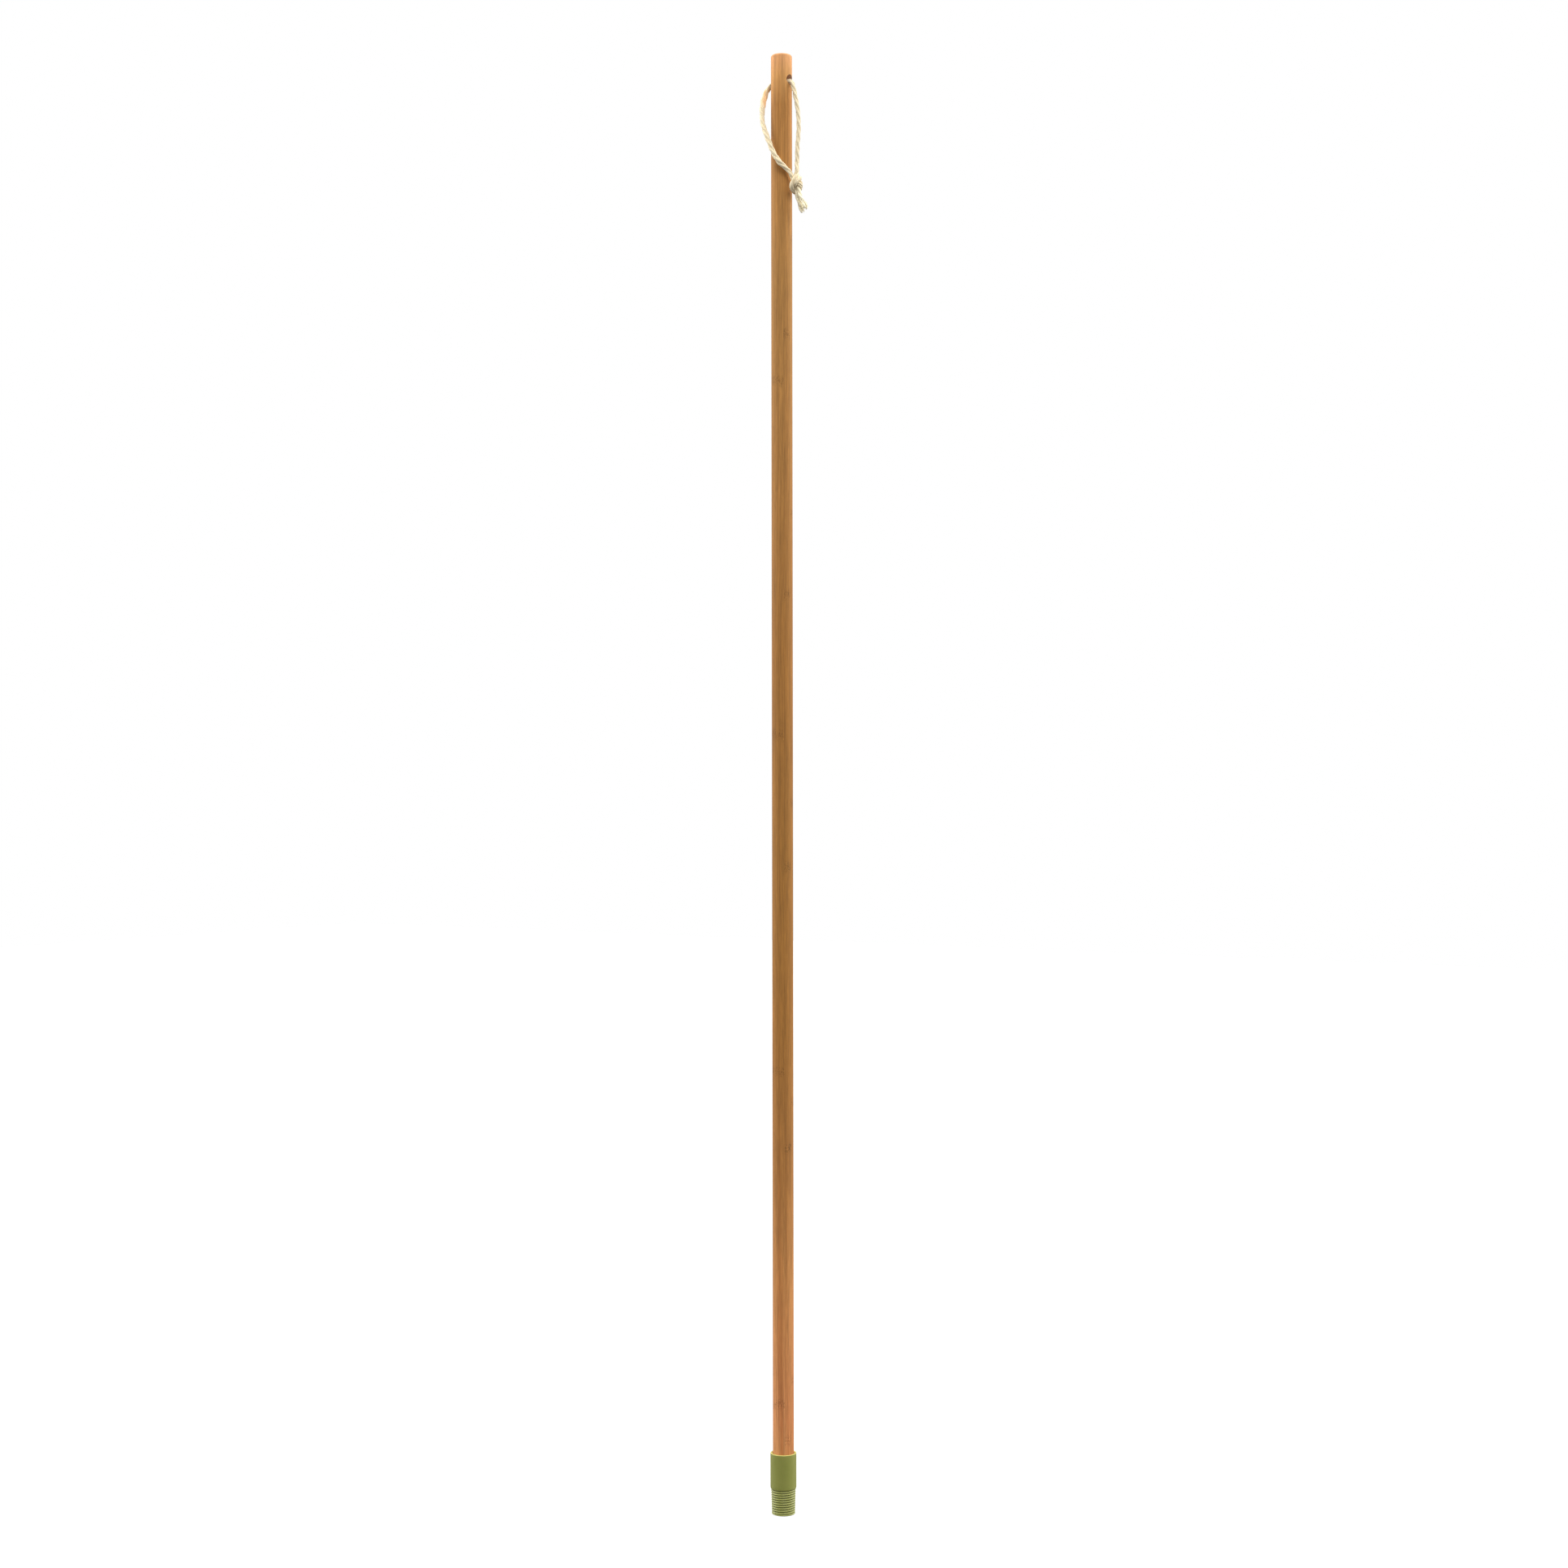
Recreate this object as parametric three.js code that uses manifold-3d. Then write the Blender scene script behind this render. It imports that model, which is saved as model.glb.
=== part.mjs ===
// Long screw-in tool handle: a laminated bamboo pole with a threaded plastic ferrule at its
// foot, and a loop of twisted cotton cord knotted through a cross hole near its top.
//
// Millimetres. +Z runs up the pole from the centre of the ferrule's flat end. +X runs along
// the cord hole, and -Y is the front, where the cord loop crosses the pole.

import * as THREE from "three";
import { mergeVertices } from "three/addons/utils/BufferGeometryUtils.js";
import Module from "manifold-3d";

const wasm = await Module();
wasm.setup();

// Handle
const HANDLE_LENGTH = 1524;
const CLEARANCE = 0.3; // between a piece and the neighbour that it touches

// Pole: bamboo lamellae glued face to face, then turned round
const POLE_RADIUS = 11;
const POLE_SIDES = 48;
const TOP_EDGE_ROUND = 2.4;
const FOOT_CHAMFER = 0.6;
const LAMELLA_THICKNESS = 7;
const FIRST_GLUE_PLANE_Y = -8.2;
const GLUE_LINE = 0.3;
const LAMELLA_NAMES = ["front_lamella", "front_core_lamella", "rear_core_lamella", "rear_lamella"];

// Cross hole for the cord
const CORD_HOLE_Z = HANDLE_LENGTH - 27;
const CORD_HOLE_RADIUS = 4.75;
const CORD_HOLE_SIDES = 32;

// Ferrule: a smooth sleeve above a tapered right-hand male thread, closed at the bottom
const FERRULE_HEIGHT = 63.6;
const FERRULE_SIDES = 32;
const SLEEVE_RADIUS = 13.6;
const SLEEVE_FOOT_Z = 28.2;
const SHOULDER_FOOT_Z = 25.2; // the shoulder narrows from the sleeve to the thread's crests
const RIM_ROUND = 0.5;
const SOCKET_FLOOR_Z = 31;
const THREAD_TOP_Z = 27.4;
const THREAD_TOP_RADIUS = 12.9; // of the crests at the shoulder's foot
const THREAD_TIP_RADIUS = 12.2;
const THREAD_PITCH = 2.45;
const THREAD_DEPTH = 0.9;
const THREAD_RUN_OUT = 1.2; // height over which the groove fades at each end of the thread
const ROWS_PER_PITCH = 4;
const TOP_GROOVE_Z = 26.1; // height of the highest groove where the thread faces GROOVE_ANGLE
const GROOVE_ANGLE = THREE.MathUtils.degToRad(-57);
const TIP_CHAMFER = 0.7;

// Cord loop, knot and tails
const CORD_RADIUS = 2.3;
const CORD_SIDES = 8;
const LOOP_STEPS = 68;
const TAIL_STEPS = 5;
const KNOT_CENTRE = new THREE.Vector3(20.8, -1.3, 1387.3);
const KNOT_HALF_SIZE = new THREE.Vector3(7.3, 7.4, 11.4);
const KNOT_TILT = THREE.MathUtils.degToRad(12);

// Centre line of the loop: out of the knot, up the left leg, through the hole, down the right
const LOOP_ROUTE = [
  [19, -4.4, 1390],
  [17.3, -5.6, 1394.1],
  [15.4, -7, 1398],
  [11.5, -9.9, 1402],
  [6.9, -13, 1408],
  [2.4, -14.9, 1414.5],
  [-1.1, -15.5, 1421.3],
  [-5.3, -15.4, 1430.5],
  [-10.7, -14.1, 1441.8],
  [-15.9, -11.8, 1453.2],
  [-18.6, -8.7, 1462.7],
  [-20.1, -5.7, 1471.3],
  [-20.5, -3.5, 1476.9],
  [-20.1, -1.8, 1482.4],
  [-18.7, -0.6, 1487.6],
  [-15.2, 0, 1492.4],
  [-11.8, 0, 1494.7],
  [-8, 0, 1495.3],
  [0, 0, 1495.1],
  [8, 0, 1495.3],
  [11.5, -0.3, 1494.9],
  [14.1, -0.9, 1492.6],
  [15.1, -1.1, 1489.2],
  [16.7, -0.8, 1483.6],
  [18.4, -0.5, 1475.2],
  [19.7, -0.1, 1467],
  [20.8, 0, 1457.4],
  [21.2, 0, 1445.1],
  [20.9, -0.4, 1436],
  [20.3, -0.8, 1426.7],
  [20.1, -0.9, 1417.4],
  [19.8, -1, 1407.9],
  [19.7, -1.4, 1399.8],
  [20, -1.2, 1391],
];

const TAIL_ROUTES = {
  cord_tail_rear: [
    [19.6, -0.4, 1382],
    [19.8, -0.2, 1377],
    [19.9, 0.4, 1372],
    [20.1, 1.6, 1367.4],
    [20.4, 3, 1361.9],
  ],
  cord_tail_front: [
    [22.6, -5, 1382],
    [23.4, -4.8, 1377],
    [24.9, -3.4, 1371.5],
    [27.1, -1.2, 1366],
    [29.4, 1.2, 1360.8],
  ],
};

// Materials

const bambooLight = new THREE.MeshStandardMaterial({ color: 0xc98d52, roughness: 0.5, metalness: 0 });
const bambooDark = new THREE.MeshStandardMaterial({ color: 0xb27643, roughness: 0.5, metalness: 0 });
const olivePlastic = new THREE.MeshStandardMaterial({ color: 0x83843e, roughness: 0.45, metalness: 0 });
const creamCotton = new THREE.MeshStandardMaterial({ color: 0xeadfc0, roughness: 0.9, metalness: 0 });

// Helpers

// A closed solid that can be joined and cut, from a closed three.js geometry.
function solidFrom(geometry) {
  const bare = geometry.clone();
  bare.deleteAttribute("normal");
  bare.deleteAttribute("uv");
  const merged = mergeVertices(bare);
  return new wasm.Manifold(
    new wasm.Mesh({
      numProp: 3,
      vertProperties: new Float32Array(merged.attributes.position.array),
      triVerts: new Uint32Array(merged.index.array),
    })
  );
}

function geometryFrom(solid) {
  const mesh = solid.getMesh();
  const geometry = new THREE.BufferGeometry();
  geometry.setAttribute("position", new THREE.BufferAttribute(mesh.vertProperties, 3));
  geometry.setIndex(new THREE.BufferAttribute(mesh.triVerts, 1));
  geometry.computeVertexNormals();
  return geometry;
}

// A profile of [radius, height] points, turned about +Z.
function turned(profile, sides) {
  const points = profile.map(([radius, height]) => new THREE.Vector2(radius, height));
  return new THREE.LatheGeometry(points, sides).rotateX(Math.PI / 2);
}

// [radius, height] points of a quarter round from its side to its top.
function roundedEdge(radius, top, round, steps) {
  const points = [];
  for (let step = 0; step <= steps; step += 1) {
    const angle = (step / steps) * (Math.PI / 2);
    points.push([radius - round + round * Math.cos(angle), top - round + round * Math.sin(angle)]);
  }
  return points;
}

function named(name, geometry, material) {
  const mesh = new THREE.Mesh(geometry, material);
  mesh.name = name;
  return mesh;
}

// Pole

function wholePole() {
  const foot = SOCKET_FLOOR_Z + CLEARANCE;
  const profile = [
    [0, foot],
    [POLE_RADIUS - FOOT_CHAMFER, foot],
    [POLE_RADIUS, foot + FOOT_CHAMFER],
    ...roundedEdge(POLE_RADIUS, HANDLE_LENGTH, TOP_EDGE_ROUND, 4),
    [0, HANDLE_LENGTH],
  ];
  return solidFrom(turned(profile, POLE_SIDES));
}

function cordHole() {
  const length = 4 * POLE_RADIUS;
  const cylinder = new THREE.CylinderGeometry(CORD_HOLE_RADIUS, CORD_HOLE_RADIUS, length, CORD_HOLE_SIDES);
  return solidFrom(cylinder.rotateZ(Math.PI / 2).translate(0, 0, CORD_HOLE_Z));
}

// The slice of space that one lamella fills, with half a glue line taken off each glued face.
function lamellaSlab(index) {
  const outside = 2 * POLE_RADIUS;
  const firstFace = index === 0 ? -outside : FIRST_GLUE_PLANE_Y + (index - 1) * LAMELLA_THICKNESS;
  const isLast = index === LAMELLA_NAMES.length - 1;
  const lastFace = isLast ? outside : FIRST_GLUE_PLANE_Y + index * LAMELLA_THICKNESS;
  const slab = new THREE.BoxGeometry(2 * outside, lastFace - firstFace - GLUE_LINE, 2 * HANDLE_LENGTH);
  return solidFrom(slab.translate(0, (firstFace + lastFace) / 2, HANDLE_LENGTH / 2));
}

function lamellae() {
  const drilledPole = wholePole().subtract(cordHole());
  return LAMELLA_NAMES.map((name, index) => {
    const material = index % 2 === 0 ? bambooLight : bambooDark;
    return named(name, geometryFrom(drilledPole.intersect(lamellaSlab(index))), material);
  });
}

// Ferrule

// The crests taper up to the shoulder, and the shoulder runs out smoothly into the sleeve.
function threadCrestRadius(z) {
  if (z < SHOULDER_FOOT_Z) {
    return THREE.MathUtils.mapLinear(z, 0, SHOULDER_FOOT_Z, THREAD_TIP_RADIUS, THREAD_TOP_RADIUS);
  }
  const rise = THREE.MathUtils.smoothstep(z, SHOULDER_FOOT_Z, SLEEVE_FOOT_Z);
  return THREE.MathUtils.lerp(THREAD_TOP_RADIUS, SLEEVE_RADIUS, rise);
}

// How deep the helical groove is at an angle about the axis and a height.
function grooveDepth(angle, z) {
  const turns = (z - TOP_GROOVE_Z) / THREAD_PITCH - (angle - GROOVE_ANGLE) / (2 * Math.PI);
  const wave = 0.5 + 0.5 * Math.cos(2 * Math.PI * turns);
  const distanceToEnd = Math.min(z - TIP_CHAMFER, THREAD_TOP_Z - z);
  const fade = THREE.MathUtils.clamp(distanceToEnd / THREAD_RUN_OUT, 0, 1);
  return THREAD_DEPTH * wave * fade;
}

function ferruleProfile() {
  const profile = [
    [0, 0],
    [THREAD_TIP_RADIUS - TIP_CHAMFER, 0],
  ];
  const rows = Math.round(((THREAD_TOP_Z - TIP_CHAMFER) / THREAD_PITCH) * ROWS_PER_PITCH);
  for (let row = 0; row <= rows; row += 1) {
    const z = THREE.MathUtils.lerp(TIP_CHAMFER, THREAD_TOP_Z, row / rows);
    profile.push([threadCrestRadius(z), z]);
  }
  profile.push(
    [SLEEVE_RADIUS, SLEEVE_FOOT_Z],
    ...roundedEdge(SLEEVE_RADIUS, FERRULE_HEIGHT, RIM_ROUND, 2),
    [POLE_RADIUS + CLEARANCE, FERRULE_HEIGHT],
    [POLE_RADIUS + CLEARANCE, SOCKET_FLOOR_Z],
    [0, SOCKET_FLOOR_Z]
  );
  return profile;
}

function threadedFerrule() {
  const geometry = turned(ferruleProfile(), FERRULE_SIDES);
  const position = geometry.attributes.position;
  const vertex = new THREE.Vector3();
  for (let index = 0; index < position.count; index += 1) {
    vertex.fromBufferAttribute(position, index);
    const radius = Math.hypot(vertex.x, vertex.y);
    if (vertex.z > TIP_CHAMFER && vertex.z < THREAD_TOP_Z && radius > THREAD_TIP_RADIUS - TIP_CHAMFER) {
      const shrink = 1 - grooveDepth(Math.atan2(vertex.y, vertex.x), vertex.z) / radius;
      position.setXY(index, vertex.x * shrink, vertex.y * shrink);
    }
  }
  geometry.computeVertexNormals();
  return named("threaded_ferrule", geometry, olivePlastic);
}

// Cord

function cordTube(route, steps) {
  const points = route.map(([x, y, z]) => new THREE.Vector3(x, y, z));
  const section = new THREE.Shape();
  section.absarc(0, 0, CORD_RADIUS, 0, 2 * Math.PI, false);
  return new THREE.ExtrudeGeometry(section, {
    steps,
    bevelEnabled: false,
    curveSegments: CORD_SIDES / 2,
    extrudePath: new THREE.CatmullRomCurve3(points, false, "centripetal"),
  });
}

// The knot's outer shape, grown by a margin.
function knotShape(margin) {
  const size = KNOT_HALF_SIZE.clone().addScalar(margin);
  const ball = new THREE.SphereGeometry(1, 16, 12).rotateX(Math.PI / 2);
  return ball
    .scale(size.x, size.y, size.z)
    .rotateY(KNOT_TILT)
    .translate(KNOT_CENTRE.x, KNOT_CENTRE.y, KNOT_CENTRE.z);
}

function cordPiece(name, route, steps) {
  const outsideKnot = solidFrom(cordTube(route, steps)).subtract(solidFrom(knotShape(CLEARANCE)));
  return named(name, geometryFrom(outsideKnot), creamCotton);
}

function cordPieces() {
  const tails = Object.entries(TAIL_ROUTES).map(([name, route]) => cordPiece(name, route, TAIL_STEPS));
  return [
    cordPiece("cord_loop", LOOP_ROUTE, LOOP_STEPS),
    named("cord_knot", knotShape(0), creamCotton),
    ...tails,
  ];
}

const handle = new THREE.Group();
handle.add(...lamellae(), threadedFerrule(), ...cordPieces());

export default handle;
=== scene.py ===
"""Screw-in bamboo tool handle with a threaded olive ferrule and a knotted cotton cord loop.

Metres, in the CAD frame: +Z up the pole from the ferrule's flat end, +X along the cord hole,
-Y the front.
"""

import math

import bmesh
import bpy
import numpy as np
from mathutils import Matrix, Vector


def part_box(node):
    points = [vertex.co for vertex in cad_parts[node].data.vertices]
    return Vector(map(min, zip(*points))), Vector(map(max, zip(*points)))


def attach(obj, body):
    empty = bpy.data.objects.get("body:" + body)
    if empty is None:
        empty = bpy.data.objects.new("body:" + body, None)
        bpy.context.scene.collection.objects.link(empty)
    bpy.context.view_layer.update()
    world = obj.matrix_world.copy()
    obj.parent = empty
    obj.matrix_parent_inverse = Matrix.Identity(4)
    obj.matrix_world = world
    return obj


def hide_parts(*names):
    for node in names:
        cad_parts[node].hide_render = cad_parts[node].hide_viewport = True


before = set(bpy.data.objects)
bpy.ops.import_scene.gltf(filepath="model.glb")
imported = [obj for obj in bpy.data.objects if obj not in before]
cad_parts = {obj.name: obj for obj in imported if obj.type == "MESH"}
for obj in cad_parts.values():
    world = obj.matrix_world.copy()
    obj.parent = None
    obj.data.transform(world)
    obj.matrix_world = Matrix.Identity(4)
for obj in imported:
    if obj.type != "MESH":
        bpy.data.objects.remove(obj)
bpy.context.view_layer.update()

LOW, HIGH = 0, 1
X, Y, Z = 0, 1, 2


def node_side(node, corner, axis):
    """One side of a CAD node's box, to a hundredth of a millimetre."""
    return round(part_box(node)[corner][axis], 5)


# Camera
CAMERA_AZIMUTH = math.radians(33)
CAMERA_DISTANCE = 2.600
CAMERA_HEIGHT = 0.7624
CAMERA_SIDESTEP = 0.0016
CAMERA_ROLL = -0.0014
LENS_MM = 57.1
SENSOR_MM = 36

# Pole, as in the CAD model: four lamellae glued face to face, with a cross hole
LAMELLAE = ["front_lamella", "front_core_lamella", "rear_core_lamella", "rear_lamella"]
WIDEST_LAMELLA = "rear_core_lamella"
HANDLE_LENGTH = node_side(WIDEST_LAMELLA, HIGH, Z)
POLE_FOOT_Z = node_side(WIDEST_LAMELLA, LOW, Z)
POLE_RADIUS = node_side(WIDEST_LAMELLA, HIGH, X)
FOOT_CHAMFER = 0.0006
TOP_EDGE_ROUND = 0.0024
GLUE_PLANES_Y = [
    round((node_side(front, HIGH, Y) + node_side(rear, LOW, Y)) / 2, 5)
    for front, rear in zip(LAMELLAE, LAMELLAE[1:])
]
GLUE_INSET = 0.00003  # half the width of the glue line between two lamellae
HOLE_Z = 1.497
HOLE_RADIUS = 0.00475
HOLE_FLARE = 0.0008
POLE_ROWS = 30
EDGE_ROWS = 8
ARC_STEPS = 18
HOLE_SIDES = 64
HOLE_RINGS = 41
CUTTER_HALF = 1.6 * POLE_RADIUS
CUTTER_SLOPE = 1.2

# Ferrule, as in the CAD model: a tapered thread, a shoulder and a sleeve round the socket
FERRULE_HEIGHT = node_side("threaded_ferrule", HIGH, Z)
FERRULE_SIDES = 160
SLEEVE_RADIUS = node_side("threaded_ferrule", HIGH, X)
SLEEVE_FOOT_Z = 0.0282
SHOULDER_FOOT_Z = 0.0252
RIM_ROUND = 0.0005
SOCKET_FLOOR_Z = 0.031
SOCKET_RADIUS = 0.0113
SOCKET_CHAMFER = 0.0003
CAP_RADIUS = 0.0001  # the small flat cap in the middle of the foot and of the socket's floor
FOOT_INNER_RADIUS = 0.006
THREAD_TOP_Z = 0.0274
THREAD_TOP_RADIUS = 0.0129
THREAD_TIP_RADIUS = 0.0122
THREAD_PITCH = 0.00245
THREAD_DEPTH = 0.0009
THREAD_RUN_OUT = 0.0012
TOP_GROOVE_Z = 0.0261
GROOVE_ANGLE = math.radians(-57)  # where around the ferrule the top groove is at its height
TIP_CHAMFER = 0.0007
ROWS_PER_PITCH = 14
SHOULDER_ROWS = 4
SLEEVE_ROWS = 12
RIM_ROWS = 6

# Edges sharper than these angles stay crisp, in degrees
POLE_CREASE = 30
FERRULE_CREASE = 50
CORD_CREASE = 65

# Cord: three strands of seven yarns, in rings a step apart
ROPE_STEP = 0.0006
STRANDS = 3
STRAND_RADIUS = 0.00138
STRAND_OFFSET = 0.00101
LAY_PITCH = 0.030
YARNS = 7
SIDES_PER_YARN = 4
YARN_VALLEY = 0.92
YARN_RELIEF = 0.10
# How much painted shade darkens the valleys between the yarns
YARN_SHADE = 0.4
FIRST_NORMAL = (0.0, 1.0, 0.3)
UNEVENNESS = 0.05
OFFSET_WAVE = 0.035
RADIUS_WAVE = 0.021
OFFSET_SEED = 20
RADIUS_SEED = 30

# How thick the cord is, at distances from the middle of the hole towards the right leg
SWELLS = [
    (-0.125, 1.24),
    (-0.108, 1.22),
    (-0.088, 1.12),
    (-0.075, 1.18),
    (-0.060, 1.04),
    (-0.050, 1.08),
    (-0.040, 1.30),
    (-0.029, 1.38),
    (-0.020, 1.15),
    (-0.012, 0.98),
    (0.100, 1.00),
]
KNOT_SWELL = 0.98
SWELL_FADE = 0.008

# The tan stretch of the left leg, at distances as above, and how tan each strand is
TAN_STRETCH = (-0.043, -0.012)
TAN_FADE = 0.008
TAN_SHARES = [0.45, 1.0, 0.45]

# Frayed free ends
TAIL_LENGTH = 0.024
FRAY_LENGTH = 0.012
FRAY_SPREAD = 0.8
FRAY_FLUFF = 0.12
TIP_LENGTH = 0.0045
TIP_SHARE = 0.30
FRONT_SHORTFALLS = [0, 0.0020, 0.0011]  # how much short of the tail's end each strand stops
REAR_SHORTFALLS = [0.0034, 0, 0.0043]

# Hairs: single loose fibres all along the cord, and thicker wisps in the frayed ends
HAIR_POINTS = 6
HAIR_SIDES = 3
HAIR_ROOT = STRAND_OFFSET + 0.6 * STRAND_RADIUS
HAIR_ARCH = 2.2
FIBRES_PER_METRE = 1500
FIBRE_RADIUS = 0.00004
FIBRE_LENGTHS = (0.0015, 0.0036)
FIBRE_LIFTS = (0.0002, 0.0012)
FIBRE_CURL = 0.0012
FIBRE_MARGIN = 3  # rings at each end of a piece where no fibre starts
WISPS = 70
WISP_RADII = (0.00008, 0.00017)
WISP_STARTS = (0.0030, 0.0110)
WISP_OVERHANGS = (-0.0035, 0.0006)
WISP_LONGEST = 0.0075
WISP_LIFTS = (-0.0004, 0.0006)
WISP_CURL = 0.0008

# The loop's route up the left side, through the hole and down the right, as in the CAD model
STEPS_PER_POINT = 16
CORD_IN_HOLE = (0, 0, 1.4951)
LOOP_ROUTE = [
    (0.0069, -0.0130, 1.4080),
    (0.0024, -0.0149, 1.4145),
    (-0.0011, -0.0155, 1.4213),
    (-0.0053, -0.0154, 1.4305),
    (-0.0107, -0.0141, 1.4418),
    (-0.0159, -0.0118, 1.4532),
    (-0.0186, -0.0087, 1.4627),
    (-0.0201, -0.0057, 1.4713),
    (-0.0205, -0.0035, 1.4769),
    (-0.0201, -0.0018, 1.4824),
    (-0.0187, -0.0006, 1.4876),
    (-0.0152, 0.0000, 1.4924),
    (-0.0118, 0.0000, 1.4947),
    (-0.0080, 0.0000, 1.4953),
    (0.0000, 0.0000, 1.4951),
    (0.0080, 0.0000, 1.4953),
    (0.0115, -0.0003, 1.4949),
    (0.0141, -0.0009, 1.4926),
    (0.0151, -0.0011, 1.4892),
    (0.0167, -0.0008, 1.4836),
    (0.0184, -0.0005, 1.4752),
    (0.0197, -0.0001, 1.4670),
    (0.0208, 0.0000, 1.4574),
    (0.0212, 0.0000, 1.4451),
    (0.0209, -0.0004, 1.4360),
    (0.0203, -0.0008, 1.4267),
    (0.0201, -0.0009, 1.4174),
]
LEG_ENDS = [(0.0115, -0.0099, 1.4020), (0.0198, -0.0010, 1.4079)]
TAIL_ENDS = [(0.0203, 0.0030, 1.3622), (0.0296, 0.0014, 1.3610)]

# Knot: both legs together in one overhand knot, found by pulling a loose one tight
KNOT_CENTRE = np.array([0.0202, -0.0019, 1.3869])
KNOT_NODES = 64
LEG_NODES = KNOT_NODES // 4
KNOT_SPIN = math.radians(36)
CORD_STANDOFF = 0.0137  # the cord's centre line stays this far from the pole's

# The loose knot: a wide overhand curve, with a cord on each side of it
GUIDE_POINTS = 140
GUIDE_TURN = 2.1
GUIDE_WIDTH = 0.008
GUIDE_DEPTH = 0.0053
GUIDE_HEIGHT = 0.0021
GUIDE_GAP = 0.0022

# Pulling it tight: rounds, and how close two cords may come
KNOT_PULLS = [(450, 0.0045), (250, 0.0036)]
KNOT_PULL_SHARE = 0.3
CONTACT_PASSES = 2
NEIGHBOUR_REACH = 1.5
RECENTRE_EVERY = 10
RECENTRE_SHARE = 0.3
RECENTRE_FADE = 6

# The tight knot's proportions, and where its legs and tails lie
KNOT_WIDTH_SCALE = 0.80
KNOT_HEIGHT_SCALE = 1.22
KNOT_REACH = 0.017
LEG_LEAN = 0.0019
LEG_LEAN_Z = 1.4000
LEG_LEAN_REACH = 0.0050
TAIL_BEND_Z = 1.3690
TAIL_BEND_REACH = 0.0055
FRONT_TAIL_SHIFTS = (0.0010, -0.0011, 0.0012)  # to the right at the bend, at the tip, and down
REAR_TAIL_SHIFTS = (0.0005, 0.0031, 0.0044)

# Studio
WORLD_LEVELS = (0.13, 0.88)  # the soft light from straight below and from straight above
FLOOR_HALF = 8
FLOOR_Z = -0.0005
SUNS = [  # name, azimuth, elevation, level and spread, as add_sun takes them
    ("key", 14, 50, 0.42, 22),
    ("left_light", -110, 28, 1.0, 60),
    ("right_light", 104, 28, 0.88, 60),
]


# Camera


def camera_side():
    return Vector((math.cos(CAMERA_AZIMUTH), math.sin(CAMERA_AZIMUTH), 0))


def camera_direction():
    return Vector((math.sin(CAMERA_AZIMUTH), -math.cos(CAMERA_AZIMUTH), 0))


def add_camera():
    data = bpy.data.cameras.new("camera")
    data.sensor_width = SENSOR_MM
    data.lens = LENS_MM
    data.clip_end = 50
    camera = bpy.data.objects.new("camera", data)
    bpy.context.scene.collection.objects.link(camera)
    place = camera_direction() * CAMERA_DISTANCE + camera_side() * CAMERA_SIDESTEP
    place.z = CAMERA_HEIGHT
    camera.matrix_world = (
        Matrix.Translation(place)
        @ Matrix.Rotation(CAMERA_AZIMUTH, 4, "Z")
        @ Matrix.Rotation(math.pi / 2, 4, "X")
        @ Matrix.Rotation(CAMERA_ROLL, 4, "Z")
    )
    bpy.context.scene.camera = camera


# Curves and meshes


def unit(vector):
    return vector / np.linalg.norm(vector, axis=-1, keepdims=True)


def evenly(points, count=None, step=None):
    """Points at even distances along a polyline."""
    along = np.concatenate([[0], np.cumsum(np.linalg.norm(np.diff(points, axis=0), axis=1))])
    if count is None:
        count = max(2, round(along[-1] / step) + 1)
    wanted = np.linspace(0, along[-1], count)
    return np.stack([np.interp(wanted, along, points[:, axis]) for axis in range(3)], axis=1)


def smooth_route(points, step):
    """A smooth curve through points (centripetal Catmull-Rom), as points at even distances."""
    points = np.asarray(points, float)
    gaps = np.linalg.norm(np.diff(points, axis=0), axis=1) ** 0.5
    knots = np.concatenate([[0], np.cumsum(gaps)])
    slopes = np.gradient(points, knots, axis=0)
    fine = []
    for index, gap in enumerate(gaps):
        t = np.linspace(0, 1, STEPS_PER_POINT, endpoint=False)[:, None]
        start = (1 + 2 * t) * (1 - t) ** 2 * points[index] + t * (1 - t) ** 2 * gap * slopes[index]
        end = t**2 * (3 - 2 * t) * points[index + 1] + t**2 * (t - 1) * gap * slopes[index + 1]
        fine.append(start + end)
    fine.append(points[-1:])
    return evenly(np.concatenate(fine), step=step)


def carried_frames(points, first):
    """Tangents, and normals and binormals that never twist about the curve."""
    tangents = unit(np.gradient(points, axis=0))
    normals = np.zeros_like(points)
    normal = np.asarray(first, float)
    for index, tangent in enumerate(tangents):
        normal = unit(normal - np.dot(normal, tangent) * tangent)
        normals[index] = normal
    return tangents, normals, np.cross(tangents, normals)


def new_piece(name, vertices, faces, smooth=True, attributes=None):
    mesh = bpy.data.meshes.new(name)
    mesh.from_pydata([tuple(vertex) for vertex in vertices], [], faces)
    for key, values in (attributes or {}).items():
        layer = mesh.attributes.new(key, "FLOAT", "POINT")
        layer.data.foreach_set("value", np.asarray(values, np.float32))
    mesh.polygons.foreach_set("use_smooth", [smooth] * len(mesh.polygons))
    mesh.update()
    piece = bpy.data.objects.new(name, mesh)
    bpy.context.scene.collection.objects.link(piece)
    return piece


def tube_faces(rings, sides):
    """Quads between consecutive rings of vertices, with a cap on the first and the last ring."""
    faces = []
    for ring in range(rings - 1):
        for side in range(sides):
            here = ring * sides + side
            beside = ring * sides + (side + 1) % sides
            faces.append((here, beside, beside + sides, here + sides))
    faces.append(tuple(range(sides))[::-1])
    faces.append(tuple(range((rings - 1) * sides, rings * sides)))
    return faces


def fading(values, middle, reach):
    """1 at the middle, and smoothly down to 0 away from it."""
    return np.exp(-(((values - middle) / reach) ** 2))


# Knot


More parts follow.
